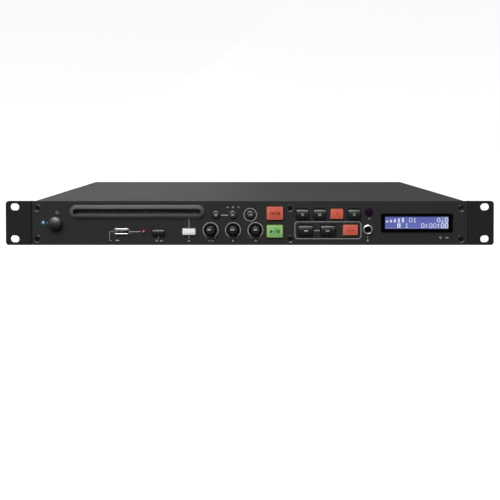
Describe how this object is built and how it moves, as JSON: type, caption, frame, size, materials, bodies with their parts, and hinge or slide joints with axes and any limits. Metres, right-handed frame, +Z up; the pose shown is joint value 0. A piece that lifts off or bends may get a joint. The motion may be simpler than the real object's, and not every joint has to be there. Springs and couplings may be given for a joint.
{
  "type": "slot-loading disc player",
  "caption": "Rack-mounted slot-loading disc and USB media player with front keys, level knobs, display, rear audio sockets and a working disc loader.",
  "frame": {"origin": "middle of the flat base: half the width and half the depth of the case, at the underside", "axes": "+X to the right as seen from the front, +Y from the front panel to the back, +Z up"},
  "size_m": [0.4826, 0.264, 0.0436],
  "materials": {
    "front_paint": "fine satin black powder coat",
    "ear_paint": "satin black powder coat",
    "case_paint": "fine-textured black powder coat",
    "black_screw": "black zinc",
    "rim_plastic": "satin dark grey moulding",
    "felt": "short black pile",
    "gloss_black": "polished black",
    "display": "lit blue liquid crystal",
    "remote_lens": "dark violet lens",
    "blue_lamp": "clear blue lens",
    "red_lamp": "clear red lens",
    "bright_nickel": "nickel plate",
    "black_knob": "satin black",
    "black_key": "satin black key",
    "white_key": "white key",
    "red_key": "lit red key",
    "green_key": "lit green key",
    "black_moulding": "black moulded plastic",
    "board": "green solder mask",
    "white_insulator": "white",
    "red_insulator": "red",
    "gold_pin": "gold plate",
    "bare_steel": "zinc-plated steel",
    "roller_rubber": "black rubber",
    "nylon": "natural nylon"
  },
  "bodies": {
    "case": {"chassis": "case_paint", "rear_panel": "case_paint", "top_cover": "case_paint", "front_panel": "front_paint", "rack_ear_left": "ear_paint", "rack_ear_right": "ear_paint", "panel_screws": "black_screw", "case_screws": "black_screw", "connector_screws": "black_screw", "slot_bezel": "rim_plastic", "slot_felt": "felt", "display_bezel": "gloss_black", "display_module": "display", "remote_window": "remote_lens", "power_lamp": "blue_lamp", "usb_lamp": "red_lamp", "mic_jack": "bright_nickel", "usb_socket": "bright_nickel", "power_switch": "black_moulding", "front_board": "board", "circuit_boards": "board", "power_supply": "board", "rca_sockets": "bright_nickel", "rca_inserts_white": "white_insulator", "rca_inserts_red": "red_insulator", "xlr_sockets": "black_moulding", "contact_pins": "gold_pin", "combo_jack": "bright_nickel", "mains_inlet": "black_moulding", "loader_frame": "bare_steel", "loader_top": "bare_steel"},
    "power_button": {"power_button": "black_key"},
    "source_button": {"source_button": "black_key"},
    "eject_button": {"eject_button": "white_key"},
    "skip_back_button": {"skip_back_button": "black_key"},
    "skip_forward_button": {"skip_forward_button": "black_key"},
    "skip_ten_button": {"skip_ten_button": "black_key"},
    "cue_button": {"cue_button": "red_key"},
    "play_button": {"play_button": "green_key"},
    "time_button": {"time_button": "black_key"},
    "program_button": {"program_button": "black_key"},
    "single_button": {"single_button": "red_key"},
    "repeat_button": {"repeat_button": "black_key"},
    "reverse_button": {"reverse_button": "black_key"},
    "forward_button": {"forward_button": "black_key"},
    "pitch_button": {"pitch_button": "red_key"},
    "pitch_knob": {"pitch_knob": "black_knob"},
    "mic_knob": {"mic_knob": "black_knob"},
    "master_knob": {"master_knob": "black_knob"},
    "combo_latch": {"combo_latch": "bright_nickel"},
    "clamp_puck": {"clamp_puck": "black_moulding"},
    "roller_carriage": {"roller_carriage": "bare_steel"},
    "feed_roller": {"feed_roller": "roller_rubber"},
    "motor_pinion": {"motor_pinion": "nylon"},
    "disc_unit": {"traverse_frame": "bare_steel", "traverse_motors": "bare_steel"},
    "turntable": {"turntable": "roller_rubber"},
    "pickup_sled": {"pickup_sled": "black_moulding"},
    "lead_screw": {"lead_screw": "bare_steel"},
    "cam_slider": {"cam_slider": "bare_steel"}
  },
  "joints": [
    {"name": "power_press", "type": "slide", "parent": "case", "child": "power_button", "axis": [0, 1, 0], "range_m": [0, 0.003], "stiffness_N_per_m": 300},
    {"name": "source_press", "type": "slide", "parent": "case", "child": "source_button", "axis": [0, 1, 0], "range_m": [0, 0.001], "stiffness_N_per_m": 300},
    {"name": "eject_press", "type": "slide", "parent": "case", "child": "eject_button", "axis": [0, 1, 0], "range_m": [0, 0.001], "stiffness_N_per_m": 300},
    {"name": "skip_back_press", "type": "slide", "parent": "case", "child": "skip_back_button", "axis": [0, 1, 0], "range_m": [0, 0.001], "stiffness_N_per_m": 300},
    {"name": "skip_forward_press", "type": "slide", "parent": "case", "child": "skip_forward_button", "axis": [0, 1, 0], "range_m": [0, 0.001], "stiffness_N_per_m": 300},
    {"name": "skip_ten_press", "type": "slide", "parent": "case", "child": "skip_ten_button", "axis": [0, 1, 0], "range_m": [0, 0.001], "stiffness_N_per_m": 300},
    {"name": "cue_press", "type": "slide", "parent": "case", "child": "cue_button", "axis": [0, 1, 0], "range_m": [0, 0.001], "stiffness_N_per_m": 300},
    {"name": "play_press", "type": "slide", "parent": "case", "child": "play_button", "axis": [0, 1, 0], "range_m": [0, 0.001], "stiffness_N_per_m": 300},
    {"name": "time_press", "type": "slide", "parent": "case", "child": "time_button", "axis": [0, 1, 0], "range_m": [0, 0.001], "stiffness_N_per_m": 300},
    {"name": "program_press", "type": "slide", "parent": "case", "child": "program_button", "axis": [0, 1, 0], "range_m": [0, 0.001], "stiffness_N_per_m": 300},
    {"name": "single_press", "type": "slide", "parent": "case", "child": "single_button", "axis": [0, 1, 0], "range_m": [0, 0.001], "stiffness_N_per_m": 300},
    {"name": "repeat_press", "type": "slide", "parent": "case", "child": "repeat_button", "axis": [0, 1, 0], "range_m": [0, 0.001], "stiffness_N_per_m": 300},
    {"name": "reverse_press", "type": "slide", "parent": "case", "child": "reverse_button", "axis": [0, 1, 0], "range_m": [0, 0.001], "stiffness_N_per_m": 300},
    {"name": "forward_press", "type": "slide", "parent": "case", "child": "forward_button", "axis": [0, 1, 0], "range_m": [0, 0.001], "stiffness_N_per_m": 300},
    {"name": "pitch_press", "type": "slide", "parent": "case", "child": "pitch_button", "axis": [0, 1, 0], "range_m": [0, 0.001], "stiffness_N_per_m": 300},
    {"name": "pitch_turn", "type": "hinge", "parent": "case", "child": "pitch_knob", "pos_m": [-0.0388, -0.125, 0.0149], "axis": [0, 1, 0], "range_deg": [-142, 142]},
    {"name": "mic_turn", "type": "hinge", "parent": "case", "child": "mic_knob", "pos_m": [-0.0166, -0.125, 0.0149], "axis": [0, 1, 0], "range_deg": [-142, 142]},
    {"name": "master_turn", "type": "hinge", "parent": "case", "child": "master_knob", "pos_m": [0.0056, -0.125, 0.0149], "axis": [0, 1, 0], "range_deg": [-142, 142]},
    {"name": "latch_press", "type": "slide", "parent": "case", "child": "combo_latch", "axis": [0, -1, 0], "range_m": [0, 0.0012], "stiffness_N_per_m": 800},
    {"name": "clamp_spin", "type": "hinge", "parent": "case", "child": "clamp_puck", "pos_m": [-0.1113, -0.048, 0.0349], "axis": [0, 0, 1], "continuous": true},
    {"name": "roller_tilt", "type": "hinge", "parent": "case", "child": "roller_carriage", "pos_m": [-0.1113, -0.088, 0.0243], "axis": [-1, 0, 0], "range_deg": [0, 7]},
    {"name": "roller_spin", "type": "hinge", "parent": "roller_carriage", "child": "feed_roller", "pos_m": [-0.1113, -0.105, 0.0263], "axis": [1, 0, 0], "continuous": true},
    {"name": "pinion_spin", "type": "hinge", "parent": "roller_carriage", "child": "motor_pinion", "pos_m": [-0.1113, -0.09926, 0.01811], "axis": [1, 0, 0], "continuous": true},
    {"name": "unit_lift", "type": "slide", "parent": "case", "child": "disc_unit", "axis": [0, 0, 1], "range_m": [0, 0.0049]},
    {"name": "cam_slide", "type": "slide", "parent": "case", "child": "cam_slider", "axis": [0, 1, 0], "range_m": [0, 0.0049]},
    {"name": "table_spin", "type": "hinge", "parent": "disc_unit", "child": "turntable", "pos_m": [-0.1113, -0.048, 0.0302], "axis": [0, 0, 1], "continuous": true},
    {"name": "sled_slide", "type": "slide", "parent": "disc_unit", "child": "pickup_sled", "axis": [0, 1, 0], "range_m": [0, 0.034]},
    {"name": "screw_spin", "type": "hinge", "parent": "disc_unit", "child": "lead_screw", "pos_m": [-0.0823, -0.048, 0.0215], "axis": [0, 1, 0], "range_deg": [0, 4081]}
  ],
  "couplings": [
    {"joint": "pinion_spin", "follows": "roller_spin", "ratio": -2.3333},
    {"joint": "cam_slide", "follows": "unit_lift", "ratio": 1},
    {"joint": "screw_spin", "follows": "sled_slide", "rad_per_m": 2094.4}
  ]
}
